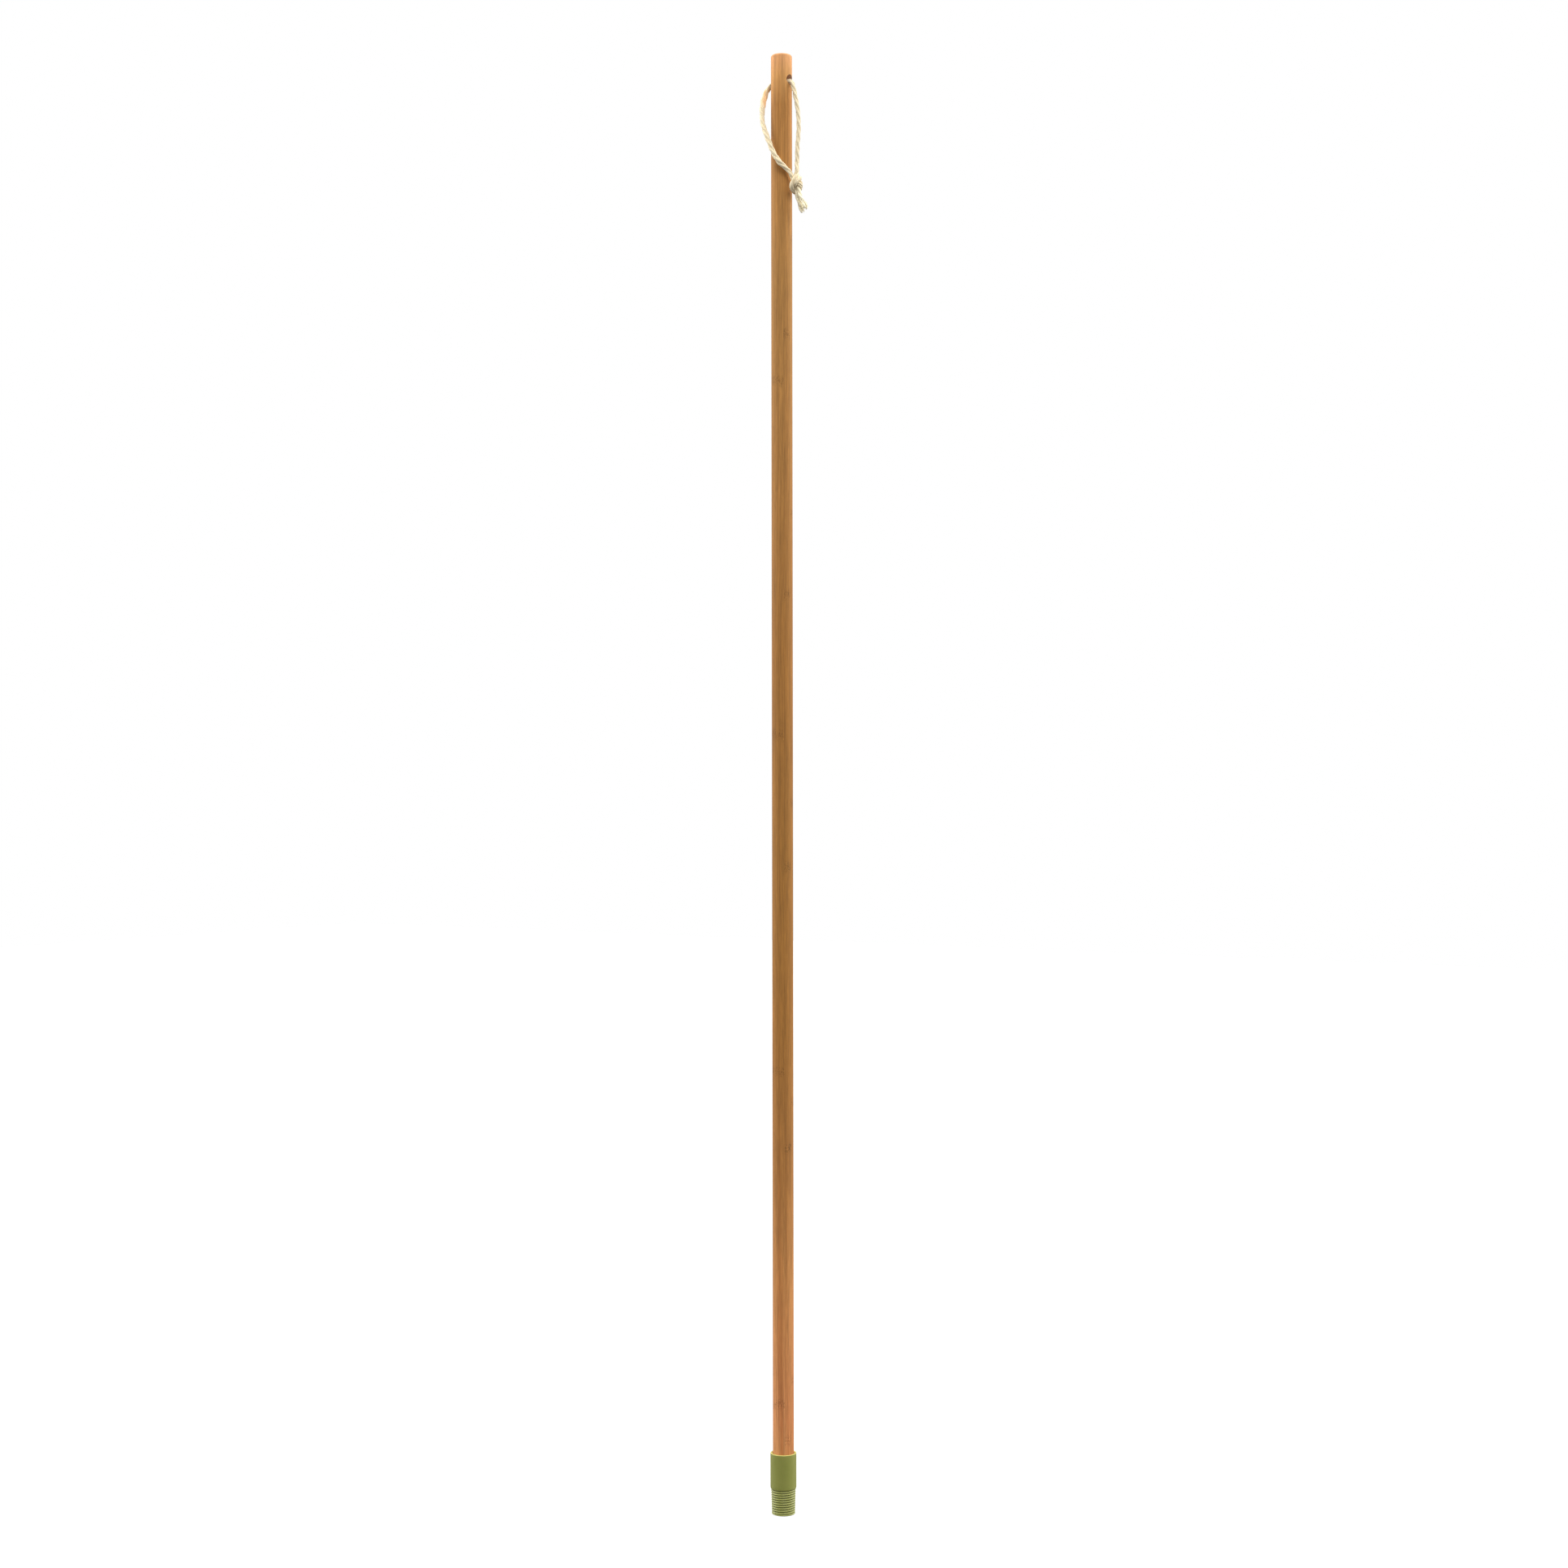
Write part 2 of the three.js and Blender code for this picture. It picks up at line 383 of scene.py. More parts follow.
def loose_knot():
    """Two cords side by side along a wide overhand knot, from the legs to the tails."""
    starts = np.array(LEG_ENDS)
    ends = np.array(TAIL_ENDS)
    axis = unit(starts.mean(axis=0) - ends.mean(axis=0))
    towards = np.array(camera_direction())
    side = unit(np.cross(towards * -1, axis))
    front = unit(towards - np.dot(towards, axis) * axis)
    turn = np.linspace(-GUIDE_TURN, GUIDE_TURN, GUIDE_POINTS)
    across = -GUIDE_WIDTH * (turn**3 - 3 * turn)
    depth = GUIDE_DEPTH * (turn**4 - 4 * turn**2 + 1.2)
    down = GUIDE_HEIGHT * (turn**5 - 10 * turn)
    spun_side = side * math.cos(KNOT_SPIN) + front * math.sin(KNOT_SPIN)
    spun_front = front * math.cos(KNOT_SPIN) - side * math.sin(KNOT_SPIN)
    guide = KNOT_CENTRE + np.outer(across, spun_side) + np.outer(depth, spun_front)
    guide = guide - np.outer(down, axis)
    normals = flat_ribbon(guide, axis)
    order = 1 if np.dot(starts[1] - starts[0], normals[0]) > 0 else -1
    if np.dot(ends[1] - ends[0], normals[-1]) * order < 0:
        ends = ends[::-1]
    ropes = []
    for index, shift in enumerate((-GUIDE_GAP * order, GUIDE_GAP * order)):
        rope = np.vstack([starts[index], guide + shift * normals, ends[index]])
        ropes.append(evenly(rope, count=KNOT_NODES))
    return np.array(ropes)


def flat_ribbon(guide, axis):
    """Directions across a guide that lie in its middle turn and never twist from there."""
    half = len(guide) // 2
    tangent = unit(np.gradient(guide, axis=0))[half]
    across = np.cross(tangent, unit(axis - np.dot(axis, tangent) * tangent))
    after = carried_frames(guide[half:], across)[1]
    before = carried_frames(guide[half::-1], across)[1]
    return np.vstack([before[::-1], after[1:]])


def pushed_apart(ropes, contact, neighbours):
    """How far each node moves so that no two cords are closer than their contact distance."""
    flat = ropes.reshape(-1, 3)
    offset = flat[:, None] - flat[None]
    distance = np.sqrt((offset**2).sum(axis=-1)) + 1e-12
    order = np.arange(KNOT_NODES)
    near = np.abs(order[:, None] - order[None]) < neighbours
    excused = np.kron(np.eye(2), np.ones((KNOT_NODES, KNOT_NODES))) * np.tile(near, (2, 2))
    overlap = np.clip(contact - distance, 0, None) * (1 - excused)
    push = (offset / distance[..., None] * (overlap * 0.5)[..., None]).sum(axis=1)
    touching = np.maximum((overlap > 0).sum(axis=1), 1)
    return (push / np.sqrt(touching)[:, None]).reshape(ropes.shape)


def kept_off_pole(ropes):
    """Moves every node that is too close to the pole straight out from it."""
    distance = np.hypot(ropes[..., 0], ropes[..., 1])
    ropes[..., :2] *= np.maximum(1, CORD_STANDOFF / distance)[..., None]
    return ropes


def pulled(ropes, rounds, contact):
    """Shortens the cords round by round, while contacts hold the knot open."""
    share = np.linspace(0, 1, KNOT_NODES)
    fade = np.clip(np.minimum(share, 1 - share) * RECENTRE_FADE, 0, 1)
    for turn in range(rounds):
        bend = ropes[:, :-2] + ropes[:, 2:] - 2 * ropes[:, 1:-1]
        ropes[:, 1:-1] += KNOT_PULL_SHARE * bend
        spacing = np.linalg.norm(np.diff(ropes, axis=1), axis=2).mean()
        neighbours = max(2, math.ceil(NEIGHBOUR_REACH * contact / spacing))
        for _ in range(CONTACT_PASSES):
            ropes[:, 1:-1] += pushed_apart(ropes, contact, neighbours)[:, 1:-1]
        ropes = kept_off_pole(ropes)
        if turn % RECENTRE_EVERY == 0:
            weight = np.linalg.norm(bend, axis=2)
            middle = (ropes[:, 1:-1] * weight[..., None]).sum(axis=(0, 1)) / weight.sum()
            ropes += (KNOT_CENTRE - middle) * fade[None, :, None] * RECENTRE_SHARE
    return ropes


def tight_knot():
    """The two cords of the finished knot, each from its leg to the end of its tail."""
    ropes = loose_knot()
    for rounds, contact in KNOT_PULLS:
        ropes = pulled(ropes, rounds, contact)
    place = ropes - KNOT_CENTRE
    hold = np.exp(-((np.linalg.norm(place, axis=-1) / KNOT_REACH) ** 4))[..., None]
    side = np.array(camera_side())
    ropes += hold * (place @ side)[..., None] * (KNOT_WIDTH_SCALE - 1) * side
    ropes[..., 2:] += hold * place[..., 2:] * (KNOT_HEIGHT_SCALE - 1)
    right_leg = ropes[1, :LEG_NODES]
    right_leg[:, 0] += LEG_LEAN * fading(right_leg[:, 2], LEG_LEAN_Z, LEG_LEAN_REACH)
    return arranged_tails(kept_off_pole(ropes))


def arranged_tails(ropes):
    """The tails leave the knot side by side and end close together, the rear one lower."""
    side = np.array(camera_side())
    middle = ropes[:, -1].mean(axis=0)
    for rope in ropes:
        at_front = np.dot(rope[-1] - middle, side) > 0
        near_knot, at_tip, drop = FRONT_TAIL_SHIFTS if at_front else REAR_TAIL_SHIFTS
        tail = rope[-LEG_NODES:]
        to_knot = fading(tail[:, 2], TAIL_BEND_Z, TAIL_BEND_REACH)
        to_tip = np.linspace(0, 1, len(tail)) ** 2
        tail += (near_knot * to_knot + at_tip * to_tip)[:, None] * side
        tail[:, 2] -= drop * to_tip
    return ropes


# Cord: one rope from tail to tail, cut into pieces at the knot and in the hole


def wander(along, seed, wavelength):
    """A value that wanders between about -1 and 1 along the cord, as a sum of four sines."""
    phases = np.random.default_rng(seed).uniform(0, 2 * math.pi, 4)
    total = np.zeros_like(along)
    for order, phase in enumerate(phases):
        waves = along * (1 + 0.73 * order) / wavelength
        total += np.sin(2 * math.pi * waves + phase) / (1 + order)
    return total / 2


class Rope:
    """The whole cord's centre line with frames, and where its pieces begin and end."""

    def __init__(self, knot):
        left, right = knot
        route = np.vstack([left[::-1], LOOP_ROUTE, right])
        self.points = smooth_route(route, ROPE_STEP)
        self.along = np.arange(len(self.points)) * ROPE_STEP
        frames = carried_frames(self.points, FIRST_NORMAL)
        self.tangents, self.normals, self.binormals = frames
        self.middle = self.nearest(CORD_IN_HOLE)
        self.left_leg = self.nearest(LEG_ENDS[0])
        self.right_leg = self.nearest(LEG_ENDS[1])
        self.from_middle = self.along - self.along[self.middle]
        self.swell = self.thickness()

    def thickness(self):
        """How thick the cord is along its length: slack on the left leg, squeezed in the knot."""
        marks, values = zip(*SWELLS)
        swell = np.interp(self.from_middle, marks, values)
        order = np.arange(len(self.points))
        to_knot = np.minimum(order - self.left_leg, self.right_leg - order) * ROPE_STEP
        return KNOT_SWELL + (swell - KNOT_SWELL) * np.clip(to_knot / SWELL_FADE, 0, 1)

    def nearest(self, place):
        """The number of the ring that is nearest to a place."""
        return int(np.argmin(np.linalg.norm(self.points - np.array(place), axis=1)))

    def to_end(self):
        """How far each ring is from the nearer free end of the cord."""
        return np.minimum(self.along, self.along[::-1])

    def frayed(self):
        """How frayed the cord is: not at all until near a free end."""
        return np.clip(1 - self.to_end() / FRAY_LENGTH, 0, 1)

    def painted_light_share(self):
        """How much painted light the colour takes: none until near a free end, which is painted
        paler.
        """
        return np.clip(1 - self.to_end() / TAIL_LENGTH, 0, 1)

    def tan_share(self, strand):
        """How tan a strand is: the cord is tan over a stretch where it leaves the hole on the
        left.
        """
        low, high = TAN_STRETCH
        share = np.clip((self.from_middle - low) / TAN_FADE, 0, 1)
        share = share * np.clip((high - self.from_middle) / TAN_FADE, 0, 1)
        return share * TAN_SHARES[strand]

    def strand_centre(self, strand):
        """The strand's centre line about the cord's, and the direction outward from the cord's."""
        phase = 2 * math.pi * (strand / STRANDS - self.along / LAY_PITCH)
        outward = np.cos(phase)[:, None] * self.normals + np.sin(phase)[:, None] * self.binormals
        uneven = UNEVENNESS * wander(self.along, OFFSET_SEED + strand, OFFSET_WAVE)
        spread = FRAY_SPREAD * self.frayed() ** 1.5
        offset = STRAND_OFFSET * (1 + uneven + spread) * self.swell
        return self.points + offset[:, None] * outward, outward

    def strand_radius(self, strand):
        """The strand's radius, which thins to a soft tip at a free end."""
        uneven = UNEVENNESS * wander(self.along, RADIUS_SEED + strand, RADIUS_WAVE)
        radius = STRAND_RADIUS * self.swell * (1 + uneven) * (1 + FRAY_FLUFF * self.frayed())
        front = self.along - FRONT_SHORTFALLS[strand]
        rear = self.along[::-1] - REAR_SHORTFALLS[strand]
        share = np.clip(np.minimum(front, rear) / TIP_LENGTH, 0, 1)
        return radius * (TIP_SHARE + (1 - TIP_SHARE) * np.sqrt(share))

    def strand(self, strand, first, last):
        """Vertices, faces and attributes of one strand between two rings."""
        first = max(first, round(FRONT_SHORTFALLS[strand] / ROPE_STEP))
        last = min(last, len(self.points) - 1 - round(REAR_SHORTFALLS[strand] / ROPE_STEP))
        part = slice(first, last + 1)
        rings = last + 1 - first
        sides = YARNS * SIDES_PER_YARN

        centre, outward = self.strand_centre(strand)
        forward = unit(np.gradient(centre, axis=0))
        outward = unit(outward - (outward * forward).sum(axis=1, keepdims=True) * forward)
        sideways = np.cross(forward, outward)
        around = np.arange(sides) / sides * 2 * math.pi
        turn = 2 * math.pi / LAY_PITCH * (STRAND_OFFSET + STRAND_RADIUS) / STRAND_RADIUS
        angle = around[None] + (turn * self.along)[:, None]
        crest = np.abs(np.cos(YARNS * around / 2))
        reach = self.strand_radius(strand)[:, None] * (YARN_VALLEY + YARN_RELIEF * crest[None])
        rim = np.cos(angle)[..., None] * outward[:, None]
        rim = rim + np.sin(angle)[..., None] * sideways[:, None]
        vertices = centre[:, None] + reach[..., None] * rim

        # Painted shade: darker between the yarns and on each strand's side towards the cord's
        # middle, less of it at the free ends
        inward = np.clip(0.5 - 0.5 * np.cos(angle[part]).ravel(), 0, 1)
        crevice_shade = np.clip(np.tile(1 - crest, rings) * YARN_SHADE + inward**2, 0, 1)
        # Painted light: the free ends are painted paler, standing for light through their thin
        # fibres
        painted_light = np.repeat(self.painted_light_share()[part], sides)
        attributes = {
            "rope_along": np.repeat(self.along[part], sides),
            "rope_yarn": np.tile(around / (2 * math.pi) + strand, rings),
            "rope_crevice_shade": crevice_shade * (1 - painted_light),
            "rope_tan": np.repeat(self.tan_share(strand)[part], sides),
            "rope_painted_light": painted_light,
        }
        return vertices[part].reshape(-1, 3), tube_faces(rings, sides), attributes

    def hair(self, ring, angle, run, lift, curl, radius, draw):
        """A thin closed tube that starts on the cord's surface and runs along it."""
        outward = math.cos(angle) * self.normals[ring] + math.sin(angle) * self.binormals[ring]
        aside = np.cross(outward, self.tangents[ring])
        root = self.points[ring] + outward * HAIR_ROOT * self.swell[ring]
        share = np.linspace(0, 1, HAIR_POINTS)[:, None]
        points = root + share * run * self.tangents[ring]
        points = points + np.sin(share * HAIR_ARCH) * lift * outward + share**2 * curl * aside
        _, normals, binormals = carried_frames(points, outward)
        corners = (np.arange(HAIR_SIDES) * 2 * math.pi / HAIR_SIDES)[None, :, None]
        rim = np.cos(corners) * normals[:, None] + np.sin(corners) * binormals[:, None]
        vertices = (points[:, None] + radius * rim).reshape(-1, 3)
        plain = np.zeros(len(vertices))
        attributes = {
            "rope_along": plain + self.along[ring],
            "rope_yarn": plain + draw.uniform(0, STRANDS),
            "rope_crevice_shade": plain,
            "rope_tan": plain,
            "rope_painted_light": plain + self.painted_light_share()[ring],
        }
        return vertices, tube_faces(HAIR_POINTS, HAIR_SIDES), attributes

    def towards_end(self, ring):
        """The way along the cord, -1 or 1, from a ring to the nearer free end."""
        return -1 if ring < self.middle else 1

    def fibre(self, ring, draw):
        """One loose cotton fibre that stands off the cord."""
        angle = draw.uniform(0, 2 * math.pi)
        heading = draw.choice([-1, 1])
        if self.to_end()[ring] < TIP_LENGTH:
            heading = self.towards_end(ring)
        length = draw.uniform(*FIBRE_LENGTHS)
        lift = draw.uniform(*FIBRE_LIFTS)
        curl = draw.uniform(-FIBRE_CURL, FIBRE_CURL)
        return self.hair(ring, angle, heading * length, lift, curl, FIBRE_RADIUS, draw)

    def wisp(self, tip, draw):
        """One thin bundle of fibres in the brush at a free end."""
        heading = self.towards_end(tip)
        back = draw.uniform(*WISP_STARTS)
        ring = tip - heading * round(back / ROPE_STEP)
        angle = draw.uniform(0, 2 * math.pi)
        length = min(back + draw.uniform(*WISP_OVERHANGS), WISP_LONGEST)
        lift = draw.uniform(*WISP_LIFTS)
        curl = draw.uniform(-WISP_CURL, WISP_CURL)
        radius = draw.uniform(*WISP_RADII)
        return self.hair(ring, angle, heading * length, lift, curl, radius, draw)

    def piece(self, name, spans, seed):
        """A piece of the cord over some spans of rings: strands, fibres and, at tips, wisps."""
        draw = np.random.default_rng(seed)
        parts = []
        for first, last in spans:
            for strand in range(STRANDS):
                parts.append(self.strand(strand, first, last))
            for _ in range(round((last - first) * ROPE_STEP * FIBRES_PER_METRE)):
                ring = draw.integers(first + FIBRE_MARGIN, last + 1 - FIBRE_MARGIN)
                parts.append(self.fibre(ring, draw))
        for tip in (0, len(self.points) - 1):
            if any(tip in span for span in spans):
                parts.extend(self.wisp(tip, draw) for _ in range(WISPS))
        faces = []
        count = 0
        for vertices, part_faces, _ in parts:
            faces.extend(tuple(corner + count for corner in face) for face in part_faces)
            count += len(vertices)
        vertices = np.concatenate([part[0] for part in parts])
        attributes = {key: np.concatenate([part[2][key] for part in parts]) for key in parts[0][2]}
        return new_piece(name, vertices, faces, attributes=attributes)


# Pole


def lamella_section(radius, low, high):
    """The corners of one lamella's section at a radius, between two glue planes."""
    low = max(low, -radius)
    high = min(high, radius)
    start = math.asin(low / radius)
    end = math.asin(high / radius)
    right = [start + (end - start) * step / ARC_STEPS for step in range(ARC_STEPS + 1)]
    points = [(radius * math.cos(angle), radius * math.sin(angle)) for angle in right]
    return points + [(-x, y) for x, y in reversed(points)]


def pole_levels():
    """Height and radius of each ring of the pole."""
    chamfer_top = POLE_FOOT_Z + FOOT_CHAMFER
    levels = [(POLE_FOOT_Z, POLE_RADIUS - FOOT_CHAMFER), (chamfer_top, POLE_RADIUS)]
    for row in range(1, POLE_ROWS):
        levels.append((POLE_FOOT_Z + (HANDLE_LENGTH - POLE_FOOT_Z) * row / POLE_ROWS, POLE_RADIUS))
    for row in range(EDGE_ROWS + 1):
        angle = math.pi / 2 * row / EDGE_ROWS
        radius = POLE_RADIUS - TOP_EDGE_ROUND * (1 - math.cos(angle))
        levels.append((HANDLE_LENGTH - TOP_EDGE_ROUND * (1 - math.sin(angle)), radius))
    return levels


def lamella_mesh(name, low, high):
    vertices = []
    levels = pole_levels()
    for z, radius in levels:
        vertices.extend((x, y, z) for x, y in lamella_section(radius, low, high))
    return new_piece(name, vertices, tube_faces(len(levels), len(vertices) // len(levels)))


def cutter_point(share, angle):
    """A point of the hole's cutter, at a share from -1 to 1 of its length along X.

    The cutter flares round the mouth, where the hole's wall meets the pole's round surface.
    """
    mouth = math.sqrt(POLE_RADIUS**2 - (HOLE_RADIUS * math.cos(angle)) ** 2)
    inner = mouth - HOLE_FLARE
    x = inner * 2 * abs(share)
    radius = HOLE_RADIUS
    if abs(share) >= 0.5:
        x = inner + (CUTTER_HALF - inner) * (2 * abs(share) - 1) ** 2
        bend = min((x - inner) / HOLE_FLARE, 1)
        radius += HOLE_FLARE * (1 - math.sqrt(1 - bend**2)) + max(0, x - mouth) * CUTTER_SLOPE
    return math.copysign(x, share), radius * math.cos(angle), HOLE_Z + radius * math.sin(angle)


def hole_cutter():
    vertices = []
    for ring in range(HOLE_RINGS):
        for side in range(HOLE_SIDES):
            share = 2 * ring / (HOLE_RINGS - 1) - 1
            vertices.append(cutter_point(share, 2 * math.pi * side / HOLE_SIDES))
    cutter = new_piece("hole_cutter", vertices, tube_faces(HOLE_RINGS, HOLE_SIDES))
    edit = bmesh.new()
    edit.from_mesh(cutter.data)
    bmesh.ops.recalc_face_normals(edit, faces=edit.faces)
    edit.to_mesh(cutter.data)
    edit.free()
    return cutter


def drill(piece, cutter):
    """Cuts the cutter's shape out of a piece."""
    modifier = piece.modifiers.new("hole", "BOOLEAN")
    modifier.operation = "DIFFERENCE"
    modifier.solver = "EXACT"
    modifier.object = cutter
    bpy.context.view_layer.update()
    depsgraph = bpy.context.evaluated_depsgraph_get()
    mesh = bpy.data.meshes.new_from_object(piece.evaluated_get(depsgraph))
    piece.modifiers.clear()
    piece.data = mesh


def sharpen(piece, degrees):
    """Smooth shading, with the edges sharper than an angle kept crisp."""
    edit = bmesh.new()
    edit.from_mesh(piece.data)
    bmesh.ops.remove_doubles(edit, verts=edit.verts, dist=1e-7)
    for face in edit.faces:
        face.smooth = True
    for edge in edit.edges:
        edge.smooth = edge.calc_face_angle(0) < math.radians(degrees)
    edit.to_mesh(piece.data)
    edit.free()


def make_lamellae():
    cutter = hole_cutter()
    bounds = [-1, *GLUE_PLANES_Y, 1]
    for index, node in enumerate(LAMELLAE):
        low = bounds[index] + GLUE_INSET
        high = bounds[index + 1] - GLUE_INSET
        piece = lamella_mesh("pole_" + node, low, high)
        drill(piece, cutter)
        sharpen(piece, POLE_CREASE)
        piece.data.materials.clear()
        piece.data.materials.append(bamboo_material(index))
        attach(piece, "handle")
        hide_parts(node)
    bpy.data.objects.remove(cutter)


# Ferrule


def groove(angle, z):
    """0 on the thread's crest and out of the thread, 1 at the bottom of the groove."""
    turns = (z - TOP_GROOVE_Z) / THREAD_PITCH - (angle - GROOVE_ANGLE) / (2 * math.pi)
    wave = 0.5 + 0.5 * math.cos(2 * math.pi * turns)
    to_end = min(z - TIP_CHAMFER, THREAD_TOP_Z - z)
    return wave * min(max(to_end / THREAD_RUN_OUT, 0), 1)


def crest_radius(z):
    """The radius of the ferrule's outside, over its thread and the shoulder above it."""
    taper = THREAD_TOP_RADIUS - THREAD_TIP_RADIUS
    if z < SHOULDER_FOOT_Z:
        return THREAD_TIP_RADIUS + taper * z / SHOULDER_FOOT_Z
    share = min((z - SHOULDER_FOOT_Z) / (SLEEVE_FOOT_Z - SHOULDER_FOOT_Z), 1)
    ease = share * share * (3 - 2 * share)
    return THREAD_TOP_RADIUS + (SLEEVE_RADIUS - THREAD_TOP_RADIUS) * ease


def foot_profile():
    return [
        (CAP_RADIUS, 0, False),
        (FOOT_INNER_RADIUS, 0, False),
        (THREAD_TIP_RADIUS - TIP_CHAMFER, 0, False),
        (THREAD_TIP_RADIUS - 0.3 * TIP_CHAMFER, 0.25 * TIP_CHAMFER, False),
    ]


def thread_profile():
    profile = []
    height = THREAD_TOP_Z - TIP_CHAMFER
    rows = round(height / THREAD_PITCH * ROWS_PER_PITCH)
    for row in range(rows + 1):
        z = TIP_CHAMFER + height * row / rows
        profile.append((crest_radius(z), z, True))
    for row in range(1, SHOULDER_ROWS + 1):
        z = THREAD_TOP_Z + (SLEEVE_FOOT_Z - THREAD_TOP_Z) * row / SHOULDER_ROWS
        profile.append((crest_radius(z), z, False))
    return profile


def sleeve_profile():
    profile = []
    height = FERRULE_HEIGHT - RIM_ROUND - SLEEVE_FOOT_Z
    for row in range(1, SLEEVE_ROWS):
        profile.append((SLEEVE_RADIUS, SLEEVE_FOOT_Z + height * row / SLEEVE_ROWS, False))
    for row in range(RIM_ROWS + 1):
        angle = math.pi / 2 * row / RIM_ROWS
        radius = SLEEVE_RADIUS - RIM_ROUND * (1 - math.cos(angle))
        profile.append((radius, FERRULE_HEIGHT - RIM_ROUND * (1 - math.sin(angle)), False))
    return profile


def socket_profile():
    return [
        (SOCKET_RADIUS + SOCKET_CHAMFER, FERRULE_HEIGHT, False),
        (SOCKET_RADIUS, FERRULE_HEIGHT - SOCKET_CHAMFER, False),
        (SOCKET_RADIUS, SOCKET_FLOOR_Z, False),
        (CAP_RADIUS, SOCKET_FLOOR_Z, False),
    ]


def ferrule_profile():
    """(radius, height, threaded) from the middle of the foot round to the socket's floor."""
    return [*foot_profile(), *thread_profile(), *sleeve_profile(), *socket_profile()]


def is_rim(radius, z):
    """Whether a ring is on the sleeve's lip, which takes a painted highlight."""
    return z > FERRULE_HEIGHT - 0.3 * RIM_ROUND and radius > SOCKET_RADIUS


def make_ferrule():
    vertices = []
    # The groove mark carries the thread's painted shade, the crest mark its painted highlight, and
    # the rim mark the lip's painted highlight
    marks = {"groove": [], "crest": [], "rim": []}
    profile = ferrule_profile()
    for radius, z, threaded in profile:
        for side in range(FERRULE_SIDES):
            angle = 2 * math.pi * side / FERRULE_SIDES
            cut = groove(angle, z) if threaded else 0
            reach = radius - THREAD_DEPTH * cut
            vertices.append((reach * math.cos(angle), reach * math.sin(angle), z))
            marks["groove"].append(cut)
            marks["crest"].append(1 - cut if threaded else 0)
            marks["rim"].append(1 if is_rim(radius, z) else 0)
    faces = tube_faces(len(profile), FERRULE_SIDES)
    piece = new_piece("ferrule_body", vertices, faces, attributes=marks)
    sharpen(piece, FERRULE_CREASE)
    piece.data.materials.append(plastic_material())
    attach(piece, "handle")
    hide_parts("threaded_ferrule")


# Materials


def linear(red, green, blue):
    """Scene-linear colour of an 8-bit sRGB colour."""
    values = []
    for value in (red, green, blue):
        value = value / 255
        values.append(value / 12.92 if value <= 0.04045 else ((value + 0.055) / 1.055) ** 2.4)
    return (*values, 1)


class Nodes:
    """Short calls for building a material's nodes."""

    def __init__(self, name):
        self.material = bpy.data.materials.new(name)
        self.material.use_nodes = True
        self.tree = self.material.node_tree
        self.shader = self.tree.nodes["Principled BSDF"]

    def add(self, kind, inputs=None, **settings):
        node = self.tree.nodes.new(kind)
        for key, value in settings.items():
            setattr(node, key, value)
        for key, value in (inputs or {}).items():
            self.put(node.inputs[key], value)
        return node

    def put(self, socket, value):
        if isinstance(value, bpy.types.NodeSocket):
            self.tree.links.new(value, socket)
        else:
            socket.default_value = value

    def place(self):
        return self.add("ShaderNodeTexCoord").outputs["Object"]

    def math(self, operation, first, second=0.0):
        node = self.add("ShaderNodeMath", {0: first, 1: second}, operation=operation)
        return node.outputs[0]

    def remap(self, value, low, high, new_low, new_high):
        inputs = {0: value, 1: low, 2: high, 3: new_low, 4: new_high}
        return self.add("ShaderNodeMapRange", inputs).outputs[0]

    def mix(self, factor, first, second, blend_type="MIX"):
        node = self.add("ShaderNodeMix", data_type="RGBA", blend_type=blend_type)
        self.put(node.inputs[0], factor)
        self.put(node.inputs[6], first)
        self.put(node.inputs[7], second)
        return node.outputs[2]

    def noise(self, vector, scale, detail, roughness=0.5):
        inputs = {"Vector": vector, "Scale": scale, "Detail": detail, "Roughness": roughness}
        return self.add("ShaderNodeTexNoise", inputs).outputs["Fac"]

    def stretched(self, vector, scale, offset):
        inputs = {"Vector": vector, "Scale": scale, "Location": offset}
        return self.add("ShaderNodeMapping", inputs).outputs[0]

    def ramp(self, factor, stops):
        node = self.add("ShaderNodeValToRGB", {0: factor})
        elements = node.color_ramp.elements
        while len(elements) < len(stops):
            elements.new(0.5)
        for element, (position, colour) in zip(elements, stops):
            element.position = position
            element.color = colour
        return node.outputs[0]

    def attribute(self, name):
        """A value that the mesh carries at its points."""
        return self.add("ShaderNodeAttribute", attribute_name=name).outputs["Fac"]

    def bump(self, height, distance, strength):
        inputs = {"Height": height, "Distance": distance, "Strength": strength}
        self.put(self.shader.inputs["Normal"], self.add("ShaderNodeBump", inputs).outputs[0])


# Noise stays near the middle of 0 to 1, so it is spread out between these two values
NOISE_SPREAD = (0.3, 0.7)

# Bamboo: its colour at heights up the pole, lighter towards the foot and the top partly as painted
# light from above and below, and the node marks of each lamella
BAMBOO_ALONG = [
    (0.06, (189, 132, 81)),
    (0.10, (192, 130, 81)),
    (0.25, (176, 122, 69)),
    (0.35, (155, 106, 55)),
    (0.50, (148, 101, 47)),
    (0.70, (150, 104, 49)),
    (0.90, (154, 106, 52)),
    (1.10, (163, 115, 60)),
    (1.30, (165, 119, 64)),
    (1.47, (175, 122, 64)),
    (1.50, (201, 147, 86)),
    (1.52, (217, 158, 105)),
]
NODE_HEIGHTS = [
    (0.115, 0.463, 0.813, 1.183),
    (0.080, 0.382, 0.676, 0.958, 1.231),
    (0.140, 0.431, 0.742, 1.045, 1.330),
    (0.090, 0.395, 0.700, 1.010, 1.290),
]
NODE_MARK = (0.002, 0.0065)
NODE_WAVE = 0.02
LAMELLA_TONES = [1.03, 0.97, 1.04, 0.98]
LAMELLA_SHIFT = (0.37, 0.11, 0.53)
RED_STREAK = (0.80, 0.67, 0.58, 1)
